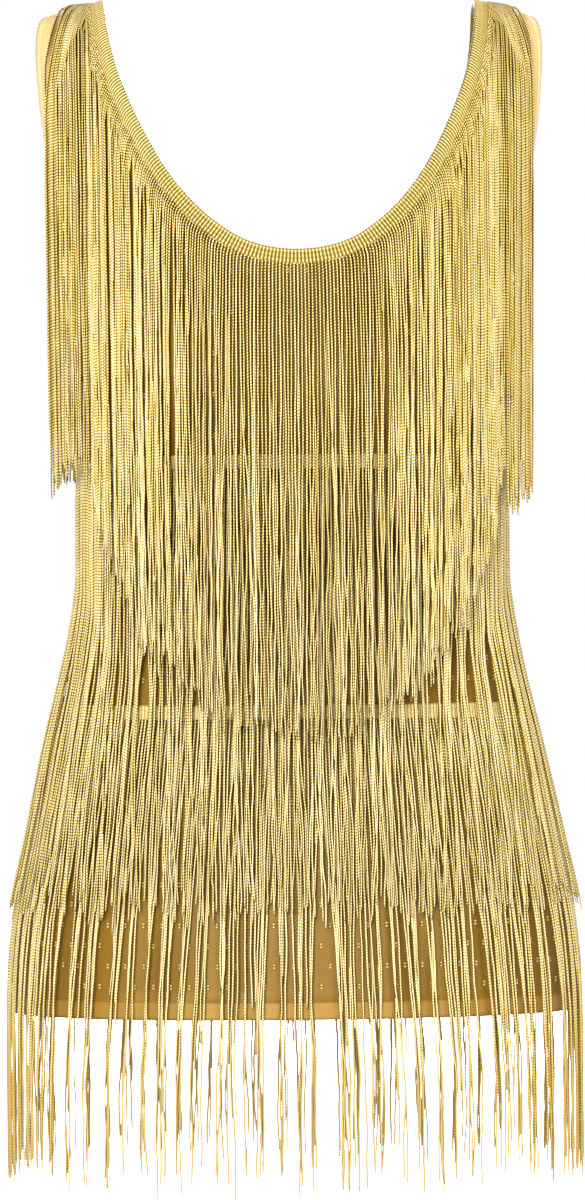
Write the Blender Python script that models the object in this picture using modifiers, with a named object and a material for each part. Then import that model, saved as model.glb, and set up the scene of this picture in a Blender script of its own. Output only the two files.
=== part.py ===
"""A sleeveless scoop-neck mini dress with three tiers of hanging fringe, worn by nobody.

The dress keeps the hollow form that a general figure gives it. Its two cloth panels meet at the side
and shoulder seams, and each tier is a narrow braid with locks of fringe, one braid on the front and
one on the back. Metres, +Z up, the front faces -Y, and the origin is midway between the shoulders.
"""

import math
from collections import namedtuple

import bpy
import numpy as np

COLLECTION_NAME = "fringed_dress"
FRONT = -1
BACK = 1

# Cloth
HEM_HEIGHT = -0.680
WALL = 0.0016
HEM_WALL = 0.0026
HEM_TURN = 0.012
HEM_STEP_HEIGHT = HEM_HEIGHT + 0.8 * HEM_TURN
SEAM_GAP = 0.0003

# Shoulders
NECK_HALF_WIDTH = 0.126
SHOULDER_HEIGHT = 0.0034
SHOULDER_SLOPE = 0.24
SHOULDER_ROUND_START = -0.17
SECTION_POWER = 2.25

# The hollow form, from the shoulders to below the fringe.
FORM_COLUMNS = ("height", "half_width", "front_depth", "back_depth")
FORM = (
    (0.040, 0.1755, 0.098, 0.084),
    (0.000, 0.1755, 0.100, 0.086),
    (-0.060, 0.1730, 0.107, 0.093),
    (-0.120, 0.1650, 0.116, 0.100),
    (-0.195, 0.1520, 0.124, 0.104),
    (-0.260, 0.1500, 0.128, 0.101),
    (-0.330, 0.1432, 0.114, 0.089),
    (-0.385, 0.1423, 0.101, 0.081),
    (-0.440, 0.1498, 0.103, 0.091),
    (-0.500, 0.1630, 0.108, 0.106),
    (-0.560, 0.1755, 0.113, 0.116),
    (-0.620, 0.1878, 0.117, 0.119),
    (-0.650, 0.1910, 0.118, 0.119),
    (-0.680, 0.1922, 0.119, 0.119),
    (-0.740, 0.1912, 0.119, 0.119),
    (-0.840, 0.1900, 0.119, 0.119),
)

# The scoop, from the centre to the shoulder line. The back is cut wider and a little deeper.
NeckPoint = namedtuple("NeckPoint", "front_width back_width front_height back_height")
NECKLINE = (
    NeckPoint(0.0000, 0.0000, -0.1713, -0.1790),
    NeckPoint(0.0317, 0.0350, -0.1657, -0.1725),
    NeckPoint(0.0590, 0.0655, -0.1479, -0.1530),
    NeckPoint(0.0815, 0.0895, -0.1224, -0.1260),
    NeckPoint(0.0995, 0.1085, -0.0910, -0.0930),
    NeckPoint(0.1145, 0.1215, -0.0554, -0.0560),
    NeckPoint(0.1225, 0.1262, -0.0239, -0.0240),
    NeckPoint(NECK_HALF_WIDTH, NECK_HALF_WIDTH, SHOULDER_HEIGHT, SHOULDER_HEIGHT),
)

# The armhole, from the strap's outer end to the underarm, where the side seam starts. The angle is
# measured round the form from the centre front or centre back, and the side seam is at 90.
ArmholePoint = namedtuple("ArmholePoint", "height angle")
ARMHOLE = (
    ArmholePoint(-0.0026, 58.5),
    ArmholePoint(-0.0070, 66.0),
    ArmholePoint(-0.0150, 71.0),
    ArmholePoint(-0.0300, 73.8),
    ArmholePoint(-0.0500, 74.6),
    ArmholePoint(-0.080, 74.6),
    ArmholePoint(-0.120, 74.2),
    ArmholePoint(-0.155, 76.0),
    ArmholePoint(-0.180, 81.0),
    ArmholePoint(-0.192, 86.0),
    ArmholePoint(-0.195, 90.0),
)

# Fringe
BRAID_WIDTH = 0.010
BRAID_THICKNESS = 0.0020
LOCK_WIDTH = 0.0068
LOCK_PITCH_SHARE = 0.74
LOCK_TIP_SHARE = 0.62
LENGTH_VARIATION = 0.010
LENGTH_PHASE = 7.0
CHEST_BRAID_HEIGHT = -0.306
HIP_BRAID_HEIGHT = -0.472

# How far the locks of a tier leave the form at each height, so that a tier clears the braid and the
# locks that it hangs over.
CLEARANCE_COLUMNS = ("height", "neck", "chest", "hip")
CLEARANCE = (
    (0.020, 0.0038, 0.0022, 0.0022),
    (-0.120, 0.0038, 0.0022, 0.0022),
    (-0.270, 0.0044, 0.0022, 0.0022),
    (-0.300, 0.0054, 0.0022, 0.0022),
    (-0.330, 0.0054, 0.0024, 0.0022),
    (-0.460, 0.0090, 0.0062, 0.0022),
    (-0.500, 0.0100, 0.0076, 0.0024),
    (-0.840, 0.0100, 0.0078, 0.0024),
)

# Where the sections of a tier's locks lie, as shares of a lock's length. The neck tier turns over
# the shoulders, so its sections start closer together.
NECK_STATIONS = (0.0, 0.05, 0.10, 0.145, 0.22, 0.40, 0.65, 1.0)
BODY_STATIONS = (0.0, 0.07, 0.24, 0.42, 0.60, 1.0)

Tier = namedtuple("Tier", "name length front_locks back_locks fan_degrees outward_run stations")
TIERS = (
    Tier("neck", 0.314, 44, 40, 0.0, 0.012, NECK_STATIONS),
    Tier("chest", 0.298, 32, 30, 2.0, 0.004, BODY_STATIONS),
    Tier("hip", 0.311, 36, 34, 5.5, 0.004, BODY_STATIONS),
)

# Locks that go out over a shoulder are longer, most of all those next to its seam.
SHOULDER_LENGTHENING = 0.012
SEAM_LENGTHENING = 0.034

# How a lock sets off: it keeps its braid's direction for the outward run, against its own weight,
# and further where it goes out over a shoulder, but drops once it has gone out to its reach. It
# leaves the form by the tier's clearance. Locks of a steep neckline are narrowed to keep apart.
SET_OFF_STRENGTH = 1.6
CLEARANCE_RUN = 0.020
EDGE_DEGREES = 4.0
HANG_STEPS = 90
SHOULDER_RUN = 0.045
SHOULDER_SHARE = 0.32
SHOULDER_BEND = 1.3
SIDE_STEP = 0.004
OUTER_DROP = 0.164
FREE_REACH = 1.0
SPACING_SHARE = 0.38
FAN_DROP = 0.24
FAN_RADIUS = 0.15

# Panel grid
UPPER_ROWS = 13
UPPER_CROWDING = 1.3
PANEL_COLUMNS = 8
LOWER_LEVELS = (
    -0.235, -0.270, CHEST_BRAID_HEIGHT, CHEST_BRAID_HEIGHT - BRAID_WIDTH, -0.345, -0.375, -0.405,
    -0.440, HIP_BRAID_HEIGHT, HIP_BRAID_HEIGHT - BRAID_WIDTH, -0.515, -0.550, -0.585, -0.620, -0.645,
    HEM_HEIGHT + HEM_TURN, HEM_STEP_HEIGHT, HEM_HEIGHT,
)

# Colour, roughness and metallic value of each kind of piece
CLOTH_LOOK = ((0.58, 0.34, 0.09, 1.0), 0.55, 0.0)
FRINGE_LOOK = ((0.74, 0.52, 0.16, 1.0), 0.38, 0.0)


def column(table, names, name, at):
    """A smooth curve through one column of a table, read at heights that the first column orders."""
    rows = np.array(table, float)
    rows = rows[np.argsort(rows[:, 0])]
    x = rows[:, 0]
    y = rows[:, names.index(name)]
    slope = np.gradient(y, x)
    at = np.clip(at, x[0], x[-1])
    i = np.clip(np.searchsorted(x, at) - 1, 0, len(x) - 2)
    width = x[i + 1] - x[i]
    t = (at - x[i]) / width
    rise = t * t * (3 - 2 * t)
    bend = width * t * (1 - t) * ((1 - t) * slope[i] - t * slope[i + 1])
    return y[i] + (y[i + 1] - y[i]) * rise + bend


def form(name, height):
    return column(FORM, FORM_COLUMNS, name, height)


def through(points, at):
    """Points on a smooth curve through a short list of points, read at fractions of their number."""
    points = np.array(points, float)
    slope = np.gradient(points, axis=0)
    i = np.clip(np.floor(at).astype(int), 0, len(points) - 2)
    t = (at - i)[:, None]
    rise = t * t * (3 - 2 * t)
    bend = t * (1 - t) * ((1 - t) * slope[i] - t * slope[i + 1])
    return points[i] + (points[i + 1] - points[i]) * rise + bend


def shoulder_height(x):
    return SHOULDER_HEIGHT + SHOULDER_SLOPE * (NECK_HALF_WIDTH - np.abs(x))


def roundness(x, height):
    """How far a point is up the round of the shoulder: 0 at its start, 1 on the shoulder line."""
    top = shoulder_height(x)
    return np.clip((height - SHOULDER_ROUND_START) / (top - SHOULDER_ROUND_START), 0, None)


def depth_name(side):
    return "front_depth" if side == FRONT else "back_depth"


def depth_at(side, x, height):
    """How far the form is from the middle plane, at a place seen from the front."""
    across = np.clip(1 - (np.abs(x) / form("half_width", height)) ** SECTION_POWER, 0, None)
    up = np.clip(1 - roundness(x, height) ** SECTION_POWER, 0, None)
    return form(depth_name(side), height) * (across * up) ** (1 / SECTION_POWER)


def width_at(angle, height):
    """The half width at an angle round the form, from 0 at the centre to 90 degrees at the side."""
    return form("half_width", height) * np.sin(np.radians(angle)) ** (2 / SECTION_POWER)


def angle_at(x, height):
    share = np.clip(np.abs(x) / form("half_width", height), 0, 1)
    return np.degrees(np.arcsin(share ** (SECTION_POWER / 2)))


def on_form(side, x, height):
    """Points on the outside of a panel. Half the seam gap keeps the two panels apart."""
    y = side * (depth_at(side, x, height) + SEAM_GAP / 2)
    return np.stack([x, y, height], axis=-1)


def level(points):
    """A number that is 0 on the form, less inside it and more outside it."""
    x = np.abs(points[..., 0])
    y = points[..., 1]
    height = points[..., 2]
    depth = np.where(y < 0, form("front_depth", height), form("back_depth", height))
    across = 1 - (x / form("half_width", height)) ** SECTION_POWER
    up = 1 - roundness(x, height) ** SECTION_POWER
    both = np.where((across > 0) & (up > 0), across * up, -np.abs(across * up))
    return (np.abs(y) / depth) ** SECTION_POWER - both


def outward(points):
    """The direction away from the form, and how fast the level grows that way."""
    step = 2e-5
    grow = np.zeros_like(points)
    for axis in range(3):
        move = np.zeros(3)
        move[axis] = step
        grow[..., axis] = (level(points + move) - level(points - move)) / (2 * step)
    rate = np.linalg.norm(grow, axis=-1, keepdims=True)
    return grow / np.maximum(rate, 1e-9), rate[..., 0]


def seam_side(points):
    """Normals at a panel's points, kept in the seam's plane where the point is on the seam."""
    direction, _ = outward(points)
    on_seam = np.abs(points[..., 1]) < SEAM_GAP
    direction[..., 1] = np.where(on_seam, 0, direction[..., 1])
    return unit(direction)


def unit(vectors):
    return vectors / np.maximum(np.linalg.norm(vectors, axis=-1, keepdims=True), 1e-12)


def evenly(points, count):
    """Points at equal steps of length along a dense line."""
    along = np.concatenate([[0], np.cumsum(np.linalg.norm(np.diff(points, axis=0), axis=1))])
    at = np.linspace(0, along[-1], count)
    return np.stack([np.interp(at, along, points[:, k]) for k in range(points.shape[1])], axis=1)


def neck_line(side, count=400):
    """The neck edge from the centre, which it crosses level, to the shoulder line."""
    table = np.array(NECKLINE)[:, 0 if side == FRONT else 1:: 2]
    table = np.concatenate([table[1:2] * (-1, 1), table])
    shares = 1 - (1 - np.linspace(0, 1, 3 * count)) ** 2
    flat = through(table, 1 + shares * (len(table) - 2))
    return evenly(on_form(side, flat[:, 0], flat[:, 1]), count)


def armhole_line(side, count=400):
    """The armhole's edge from the shoulder line to the underarm, at equal steps of length."""
    flat = through(ARMHOLE, np.linspace(0, len(ARMHOLE) - 1, 3 * count))
    x = width_at(flat[:, 1], flat[:, 0])
    height = np.minimum(flat[:, 0], shoulder_height(x))
    return evenly(on_form(side, x, height), count)


def panel_point(side, angle, drop):
    """A point at an angle round the form and a drop below the shoulder line over it."""
    x = width_at(angle, -drop)
    for _ in range(12):
        height = shoulder_height(x) - drop
        x = width_at(angle, height)
    return on_form(side, x, height)


def panel_grid(side):
    """The outer points of a half panel: rows from the shoulder to the hem, columns to the side."""
    neck = neck_line(side)[::-1]
    armhole = armhole_line(side)
    share = np.linspace(0, 1, PANEL_COLUMNS + 1)
    rows = []
    for i in range(UPPER_ROWS + 1):
        at = round((i / UPPER_ROWS) ** UPPER_CROWDING * (len(neck) - 1))
        ends = np.array([neck[at], armhole[at]])
        angle = angle_at(ends[:, 0], ends[:, 2])
        drop = shoulder_height(ends[:, 0]) - ends[:, 2]
        mix_angle = angle[0] + (angle[1] - angle[0]) * share
        mix_drop = drop[0] + (drop[1] - drop[0]) * share
        rows.append(panel_point(side, mix_angle, mix_drop))
    for height in LOWER_LEVELS:
        heights = np.full(PANEL_COLUMNS + 1, height)
        rows.append(on_form(side, width_at(90 * share, heights), heights))
    grid = np.array(rows)
    grid[UPPER_ROWS:, 0, 0] = 0
    return grid


def fill(name, points, faces, look):
    """A closed mesh object from its points and faces, with its material."""
    mesh = bpy.data.meshes.new(name)
    mesh.from_pydata([tuple(p) for p in points], [], faces)
    mesh.validate()
    mesh.update()
    thing = bpy.data.objects.new(name, mesh)
    bpy.data.collections[COLLECTION_NAME].objects.link(thing)
    colour, roughness, metallic = look
    material = bpy.data.materials.new(name)
    material.use_nodes = True
    shader = material.node_tree.nodes["Principled BSDF"]
    shader.inputs["Base Color"].default_value = colour
    shader.inputs["Roughness"].default_value = roughness
    shader.inputs["Metallic"].default_value = metallic
    material.diffuse_color = colour
    mesh.materials.append(material)
    mesh.shade_smooth()
    mesh.set_sharp_from_angle(angle=math.radians(50))
    return thing


def make_panel(name, side):
    """A front or back of the dress: a shell with scoop, strap, armhole, side seam and turned hem."""
    outer = panel_grid(side)
    heights = outer[:, PANEL_COLUMNS // 2, 2]
    hem = heights < HEM_STEP_HEIGHT + SEAM_GAP
    wall = np.where(hem, HEM_WALL, WALL)[:, None, None]
    normal = seam_side(outer)
    normal[UPPER_ROWS:, 0, 0] = 0
    normal[-1, :, 2] = 0
    inner = outer - wall * unit(normal)
    rows, columns = outer.shape[:2]
    points = np.concatenate([outer.reshape(-1, 3), inner.reshape(-1, 3)])
    skin = rows * columns

    def at(row, col):
        return row * columns + col

    faces = []
    for r in range(rows - 1):
        for c in range(columns - 1):
            corner = (at(r, c), at(r, c + 1), at(r + 1, c + 1), at(r + 1, c))
            faces.append(corner[::side])
            faces.append(tuple(skin + v for v in corner)[::-side])
    rim = [(at(0, c), at(0, c + 1)) for c in range(columns - 1)]
    rim += [(at(r, columns - 1), at(r + 1, columns - 1)) for r in range(rows - 1)]
    rim += [(at(rows - 1, c + 1), at(rows - 1, c)) for c in range(columns - 1)]
    rim += [(at(r + 1, 0), at(r, 0)) for r in range(UPPER_ROWS)]
    for a, b in rim:
        faces.append((a, skin + a, skin + b, b)[::side])
    panel = fill(name, points, faces, CLOTH_LOOK)
    mirror = panel.modifiers.new("other_half", "MIRROR")
    mirror.use_axis = (True, False, False)
    mirror.merge_threshold = 0.0001
    return panel


def on_cloth(points):
    """Whether there is cloth behind each point, or its edge, and not an armhole."""
    rows = np.array(ARMHOLE)[::-1]
    edge = np.interp(points[:, 2], rows[:, 0], rows[:, 1]) + EDGE_DEGREES
    return (points[:, 2] < rows[0, 0]) | (angle_at(points[:, 0], points[:, 2]) < edge)


def hang(start, leave, run, clearance, fan, length, reach):
    """The lines that locks take: each leaves its braid, lies on the form and hangs from it.

    start and leave are where each lock starts and which way it sets off, run is how far that lasts,
    fan is how far it drifts round the form, in metres, and clearance is read at each height. reach
    is how far out a lock may go before it drops.
    """
    step = length[:, None] / HANG_STEPS
    here = start.copy()
    line = [here.copy()]
    for i in range(HANG_STEPS):
        gone = step * i
        away, rate = outward(here)
        flat = unit(away * (1, 1, 0))
        sideways = np.stack([-flat[:, 1], flat[:, 0], np.zeros(len(flat))], axis=1)
        drift = np.where(gone < FAN_DROP, fan[:, None] / FAN_DROP, 0)
        held = on_cloth(here)[:, None]
        kept = held * SET_OFF_STRENGTH * np.exp(-((gone / run[:, None]) ** 2))
        move = leave * kept + (0, 0, -1) + sideways * drift
        here = here + unit(move) * step
        here[:, 0] = np.clip(here[:, 0], -reach, reach)
        for _ in range(3):
            away, rate = outward(here)
            short = clearance(here[:, 2], gone[:, 0]) - level(here) / rate
            here = here + held * away * np.clip(short, 0, None)[:, None]
        line.append(here.copy())
    return np.array(line).transpose(1, 0, 2)


def braid_row(side, tier, count):
    """Where a braid's columns run: points on its top edge and the way down across it.

    There are two columns for each lock, with a narrow gap between one lock and the next.
    """
    if tier == "neck":
        half = neck_line(side)
        edge = np.concatenate([half[:0:-1] * (-1, 1, 1), half])
    else:
        height = CHEST_BRAID_HEIGHT if tier == "chest" else HIP_BRAID_HEIGHT
        angle = np.linspace(0, 90, 400)
        heights = np.full(400, height)
        half = on_form(side, width_at(angle, heights), heights)
        edge = np.concatenate([half[:0:-1] * (-1, 1, 1), half])
    along = np.concatenate([[0], np.cumsum(np.linalg.norm(np.diff(edge, axis=0), axis=1))])
    pitch = along[-1] / count
    middle = (np.arange(count) + 0.5) * pitch
    width = min(LOCK_WIDTH, LOCK_PITCH_SHARE * pitch)
    at = np.sort(np.concatenate([middle - width / 2, middle + width / 2]))
    at = np.concatenate([[0], at, [along[-1]]])
    top = np.stack([np.interp(at, along, edge[:, k]) for k in range(3)], axis=1)
    normal = seam_side(top)
    ahead = np.stack([np.interp(at + 1e-4, along, edge[:, k]) for k in range(3)], axis=1)
    behind = np.stack([np.interp(at - 1e-4, along, edge[:, k]) for k in range(3)], axis=1)
    across = unit(np.cross(unit(ahead - behind), normal)) * -side
    across[[0, -1], 1] = 0
    across = unit(across)
    return top, normal, across, middle / along[-1] * 2 - 1


def settle(points, side):
    """Points brought onto the form from near it, with those on a seam kept on it."""
    on_seam = np.abs(points[:, 1]) < 2 * SEAM_GAP
    for _ in range(6):
        away, rate = outward(points)
        away[:, 1] = np.where(on_seam, 0, away[:, 1])
        points = points - away * (level(points) / rate)[:, None]
    points[:, 1] = np.where(on_seam, side * SEAM_GAP / 2, points[:, 1])
    return points


def make_fringe(name, side, tier, count):
    """One braid with its locks: the locks grow out of the braid's lower edge."""
    top, normal, across, place = braid_row(side, tier.name, count)
    low = settle(top + across * BRAID_WIDTH, side)
    low_normal = seam_side(low)
    near = SEAM_GAP
    far = SEAM_GAP + BRAID_THICKNESS
    rings = [top + normal * far, low + low_normal * far, low + low_normal * near, top + normal * near]
    columns = len(top)
    points = np.concatenate(rings)

    def at(ring, col):
        return ring * columns + col

    faces = [(at(0, 0), at(1, 0), at(2, 0), at(3, 0))]
    faces.append(tuple(at(k, columns - 1) for k in (3, 2, 1, 0)))
    for c in range(columns - 1):
        root = c % 2 == 1
        for k in range(4):
            if k == 1 and root:
                continue
            following = (k + 1) % 4
            faces.append((at(k, c), at(k, c + 1), at(following, c + 1), at(following, c)))

    first = np.arange(1, columns - 1, 2)
    root_points = [points[at(1, first)], points[at(1, first + 1)]]
    root_points += [points[at(2, first + 1)], points[at(2, first)]]
    start = sum(root_points) / 4
    leave = unit((across[first] + across[first + 1]) / 2)
    run = np.full(count, tier.outward_run)
    reach = np.full(count, FREE_REACH)
    spacing = np.full(count, FREE_REACH)
    if tier.name == "neck":
        outer = np.clip(1 - (1 - np.abs(place)) / SHOULDER_SHARE, 0, 1) ** SHOULDER_BEND
        near = np.abs(start[:, 0]) + SIDE_STEP
        reach = near + (OUTER_DROP - near) * outer
        run = np.where(outer > 0, SHOULDER_RUN, run)
        steps = np.abs(np.diff(reach))
        spacing = np.minimum(np.append(steps, steps[-1]), np.append(steps[0], steps))
        spacing[[count // 2 - 1, count // 2]] = FREE_REACH
    spread = math.radians(tier.fan_degrees) * FAN_RADIUS * np.sin(math.pi * np.abs(place))
    fan = spread * np.sign(place) * -side
    uneven = 0.5 * np.sin(LENGTH_PHASE * np.arange(count)) - 0.5
    length = tier.length + LENGTH_VARIATION * uneven
    if tier.name == "neck":
        length += SHOULDER_LENGTHENING * np.interp(np.abs(place), (0.2, 0.6), (0, 1))
        length += SEAM_LENGTHENING * np.interp(np.abs(place), (0.92, 1.0), (0, 1))

    def clearance(height, gone):
        full = column(CLEARANCE, CLEARANCE_COLUMNS, tier.name, height)
        root_clearance = SEAM_GAP + BRAID_THICKNESS / 2
        return root_clearance + (full - root_clearance) * np.clip(gone / CLEARANCE_RUN, 0, 1)

    line = hang(start, leave, run, clearance, fan, length, reach)
    stations = [round(s * (line.shape[1] - 1)) for s in tier.stations]
    thick = BRAID_THICKNESS / 2
    wide = np.linalg.norm(root_points[1] - root_points[0], axis=1) / 2
    wide = np.minimum(wide, SPACING_SHARE * spacing)
    before = [at(1, first), at(1, first + 1), at(2, first + 1), at(2, first)]
    base = len(points)
    blocks = [points]
    for s, station in enumerate(stations[1:]):
        place_here = line[:, station]
        ahead = unit(line[:, min(station + 2, line.shape[1] - 1)] - line[:, station - 2])
        away, _ = outward(place_here)
        away = unit(away - ahead * np.sum(away * ahead, axis=1, keepdims=True))
        beside = unit(np.cross(ahead, away)) * side
        share = 1 - (1 - LOCK_TIP_SHARE) * tier.stations[s + 1]
        half = (wide * share)[:, None]
        corners = [(-1, 1), (1, 1), (1, -1), (-1, -1)]
        blocks += [place_here + beside * half * u + away * thick * v for u, v in corners]
        now = [base + k * count + np.arange(count) for k in range(4)]
        base += 4 * count
        for k in range(4):
            following = (k + 1) % 4
            faces += list(zip(before[k], before[following], now[following], now[k]))
        before = now
    faces += list(zip(*before))
    faces = [tuple(int(v) for v in face)[::side] for face in faces]
    return fill(name, np.concatenate(blocks), faces, FRINGE_LOOK)


def clear_scene():
    for thing in list(bpy.data.objects):
        bpy.data.objects.remove(thing, do_unlink=True)


def main():
    clear_scene()
    collection = bpy.data.collections.new(COLLECTION_NAME)
    bpy.context.scene.collection.children.link(collection)
    make_panel("front_panel", FRONT)
    make_panel("back_panel", BACK)
    for tier in TIERS:
        make_fringe(tier.name + "_fringe_front", FRONT, tier, tier.front_locks)
        make_fringe(tier.name + "_fringe_back", BACK, tier, tier.back_locks)


main()
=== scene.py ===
"""The looks of a sleeveless scoop-neck mini dress with three tiers of hanging gold fringe.

Metres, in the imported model's frame: +Z up, the front faces -Y, and the origin is midway between the
shoulders. The cloth, braids and strands lie on the same hollow form as the solids that they replace.
"""

import math
from collections import namedtuple

import bpy
import numpy as np
from mathutils import Matrix, Vector


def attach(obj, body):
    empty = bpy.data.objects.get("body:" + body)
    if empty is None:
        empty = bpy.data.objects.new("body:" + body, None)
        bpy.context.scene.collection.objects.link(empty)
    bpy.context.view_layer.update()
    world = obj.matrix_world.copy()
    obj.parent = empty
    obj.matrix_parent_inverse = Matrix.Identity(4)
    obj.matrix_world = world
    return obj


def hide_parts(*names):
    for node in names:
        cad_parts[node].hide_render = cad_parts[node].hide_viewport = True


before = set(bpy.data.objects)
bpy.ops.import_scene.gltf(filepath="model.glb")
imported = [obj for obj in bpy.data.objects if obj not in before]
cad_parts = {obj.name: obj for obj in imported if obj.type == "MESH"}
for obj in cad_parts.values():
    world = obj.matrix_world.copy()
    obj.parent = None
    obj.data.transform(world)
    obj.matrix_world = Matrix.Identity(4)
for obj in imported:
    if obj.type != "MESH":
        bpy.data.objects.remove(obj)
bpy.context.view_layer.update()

BODY = "root"
FRONT = -1
BACK = 1
SIDES = ((FRONT, "front"), (BACK, "back"))
HALVES = ((1, "left"), (-1, "right"))

# Cloth
HEM_HEIGHT = -0.680
HEM_TURN = 0.012
WALL = 0.0014
HEM_PROUD = 0.0006
SEAM_GAP = 0.0003

# Shoulders
NECK_HALF_WIDTH = 0.126
SHOULDER_HEIGHT = 0.0034
SHOULDER_SLOPE = 0.24
SHOULDER_ROUND_START = -0.17
SECTION_POWER = 2.25

# The hollow form, from the shoulders to below the fringe.
FORM_COLUMNS = ("height", "half_width", "front_depth", "back_depth")
FORM = (
    (0.040, 0.1755, 0.098, 0.084),
    (0.000, 0.1755, 0.100, 0.086),
    (-0.060, 0.1730, 0.107, 0.093),
    (-0.120, 0.1650, 0.116, 0.100),
    (-0.195, 0.1520, 0.124, 0.104),
    (-0.260, 0.1500, 0.128, 0.101),
    (-0.330, 0.1432, 0.114, 0.089),
    (-0.385, 0.1423, 0.101, 0.081),
    (-0.440, 0.1498, 0.103, 0.091),
    (-0.500, 0.1630, 0.108, 0.106),
    (-0.560, 0.1755, 0.113, 0.116),
    (-0.620, 0.1878, 0.117, 0.119),
    (-0.650, 0.1910, 0.118, 0.119),
    (-0.680, 0.1922, 0.119, 0.119),
    (-0.740, 0.1912, 0.119, 0.119),
    (-0.840, 0.1900, 0.119, 0.119),
)

# The scoop, from the centre to the shoulder line. The back is cut wider and a little deeper.
# Columns: front width, back width, front height, back height.
NECKLINE = (
    (0.0000, 0.0000, -0.1713, -0.1790),
    (0.0317, 0.0350, -0.1657, -0.1725),
    (0.0590, 0.0655, -0.1479, -0.1530),
    (0.0815, 0.0895, -0.1224, -0.1260),
    (0.0995, 0.1085, -0.0910, -0.0930),
    (0.1145, 0.1215, -0.0554, -0.0560),
    (0.1225, 0.1262, -0.0239, -0.0240),
    (NECK_HALF_WIDTH, NECK_HALF_WIDTH, SHOULDER_HEIGHT, SHOULDER_HEIGHT),
)

# The armhole, from the strap's outer end to the underarm. Columns: height, angle round the form.
ARMHOLE = (
    (-0.0026, 58.5),
    (-0.0070, 66.0),
    (-0.0150, 71.0),
    (-0.0300, 73.8),
    (-0.0500, 74.6),
    (-0.0800, 74.6),
    (-0.1200, 74.2),
    (-0.1550, 76.0),
    (-0.1800, 81.0),
    (-0.1920, 86.0),
    (-0.1950, 90.0),
)
UNDERARM = ARMHOLE[-1][0]
LINE_POINTS = 600

# Braids
BRAID_WIDTH = 0.010
BRAID_BASE = 0.0011
RIDGE_RELIEF = 0.0009
LEVEL_RELIEF_SHARE = 0.8
RIDGE_SLANT = 0.50
RIDGE_PITCH = 0.0023
CELL_HEIGHT = 0.0031
CHEST_BRAID_HEIGHT = -0.306
HIP_BRAID_HEIGHT = -0.472

# Strands. Each tier has an upper layer, one strand for each ridge of its braid, and some under it.
STRAND_HALF_WIDTH = 0.00080
STRAND_HALF_DEPTH = 0.00074
ROOT_LIFT = 0.0010
ROOT_CLEARANCE = 0.0011
ROOT_LAYER_STEP = 0.0008
OUTWARD_RUN = 0.0030
LAYER_DEPTH = 0.0012
NEAR_CLOTH = 0.0002
HANG_STEPS = 150
SET_OFF_STRENGTH = 1.6
CLEARANCE_RUN = 0.020
EDGE_DEGREES = 3.0
SHOULDER_REACH = 0.022
SHOULDER_STRANDS = 26
INNER_DROP = 0.132
OUTER_DROPS = (0.1668, 0.1640)
DRAW_IN = 0.018
SIDE_STEP = 0.0035
FAN_DROP = 0.24
FAN_RADIUS = 0.15
LAYER_STEP = 0.0011

# Fringe tiers. light is painted light: how much lighter a tier's strands are painted, against the shade the
# tiers above cast on them.
# samples and rows are the grid of a braid: points for each ridge, and rows across it.
Tier = namedtuple("Tier", "name length pitch under_share fan_degrees bunching thickness light samples rows")
TIERS = (
    Tier("neck", 0.314, 0.0021, 0.25, 0.0, 0.26, 1.00, 0.00, 6, 17),
    Tier("chest", 0.295, 0.0022, 0.12, 2.0, 0.60, 1.00, 0.00, 4, 7),
    Tier("hip", 0.309, 0.0023, 0.06, 5.5, 0.60, 1.04, 0.14, 4, 7),
)

# How strands differ in length. The lengthening at a shoulder seam is for the left and the right end.
LENGTH_SPREAD = 0.0050
LENGTH_WAVE = 0.003
CUT_SHARE = 0.12
CUT_MOST = 0.018
SHOULDER_LENGTHENING = 0.012
SEAM_LENGTHENING = {FRONT: (0.033, 0.028), BACK: (0.012, 0.010)}

# The sideways waves that neighbouring strands share, and those of each strand's own.
Sway = namedtuple("Sway", "wave size full_at")
SWAYS = (
    Sway(0.0065, 0.0008, 0.10),
    Sway(0.0110, 0.0015, 0.16),
    Sway(0.0230, 0.0022, 0.24),
    Sway(0.0520, 0.0026, 0.30),
)
SWAY_TURN = 2.2
Wiggle = namedtuple("Wiggle", "wave size")
WIGGLES = (
    Wiggle(0.110, 0.00100),
    Wiggle(0.046, 0.00040),
    Wiggle(0.021, 0.00016),
)
STRAY_SHARE = 0.07
STRAY_SPREAD = 0.0050
PUFF = 0.0010

# How far the strands of a tier leave the form at each height, over the tiers below them.
CLEARANCE_COLUMNS = ("height", "neck", "chest", "hip")
CLEARANCE = (
    (0.020, 0.0026, 0.0018, 0.0018),
    (-0.120, 0.0026, 0.0018, 0.0018),
    (-0.280, 0.0030, 0.0018, 0.0018),
    (-0.300, 0.0034, 0.0018, 0.0018),
    (-0.330, 0.0040, 0.0018, 0.0018),
    (-0.460, 0.0056, 0.0030, 0.0018),
    (-0.500, 0.0064, 0.0034, 0.0018),
    (-0.560, 0.0072, 0.0044, 0.0018),
    (-0.840, 0.0072, 0.0050, 0.0018),
)

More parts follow.
